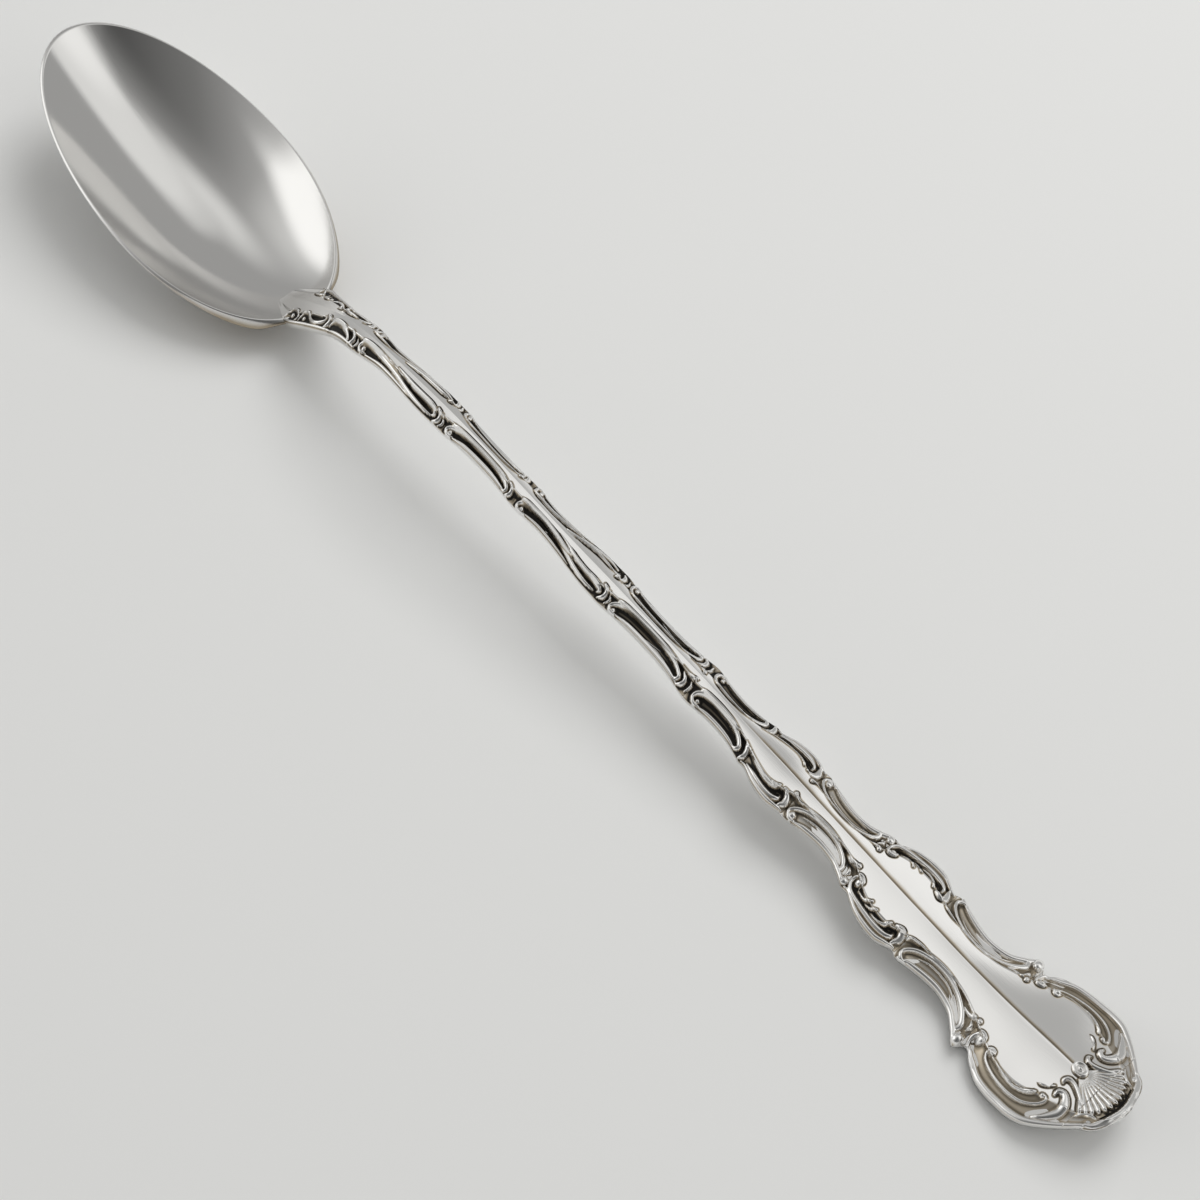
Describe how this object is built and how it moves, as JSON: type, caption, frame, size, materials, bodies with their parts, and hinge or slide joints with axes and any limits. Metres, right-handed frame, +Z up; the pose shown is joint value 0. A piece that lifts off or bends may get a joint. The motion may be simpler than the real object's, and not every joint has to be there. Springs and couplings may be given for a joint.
{
  "type": "long-handled silver spoon",
  "caption": "Long-handled silver spoon for tall drinks: a deep pointed-oval bowl on a slim arched stem with scrolled borders that widens to a lobed end with a shell.",
  "frame": {"origin": "on the table under the middle of the spoon's box", "axes": "+X along the spoon from the bowl's tip to the handle's end, +Y across to the left edge, +Z up"},
  "size_m": [0.1966, 0.0272, 0.0148],
  "materials": {
    "polished_silver": "polished solid silver with fine table scratches",
    "aged_silver": "silver, bright on the crests and dark with tarnish in the recesses"
  },
  "bodies": {
    "root": {"bowl": "polished_silver", "neck": "polished_silver", "stem": "polished_silver", "handle_blade": "polished_silver", "neck_leaf_left": "aged_silver", "neck_leaf_right": "aged_silver", "neck_scroll_left": "aged_silver", "neck_scroll_right": "aged_silver", "stem_scroll_1_left": "aged_silver", "stem_scroll_1_right": "aged_silver", "stem_scroll_2_left": "aged_silver", "stem_scroll_2_right": "aged_silver", "stem_scroll_3_left": "aged_silver", "stem_scroll_3_right": "aged_silver", "stem_scroll_4_left": "aged_silver", "stem_scroll_4_right": "aged_silver", "waist_scroll_left": "aged_silver", "waist_scroll_right": "aged_silver", "first_lobe_left": "aged_silver", "first_lobe_right": "aged_silver", "middle_scroll_left": "aged_silver", "middle_scroll_right": "aged_silver", "second_lobe_left": "aged_silver", "second_lobe_right": "aged_silver", "shoulder_scroll_left": "aged_silver", "shoulder_scroll_right": "aged_silver", "end_lobe_left": "aged_silver", "end_lobe_right": "aged_silver", "shell_fan": "aged_silver", "shell_button": "polished_silver", "end_rim": "polished_silver"}
  },
  "joints": []
}
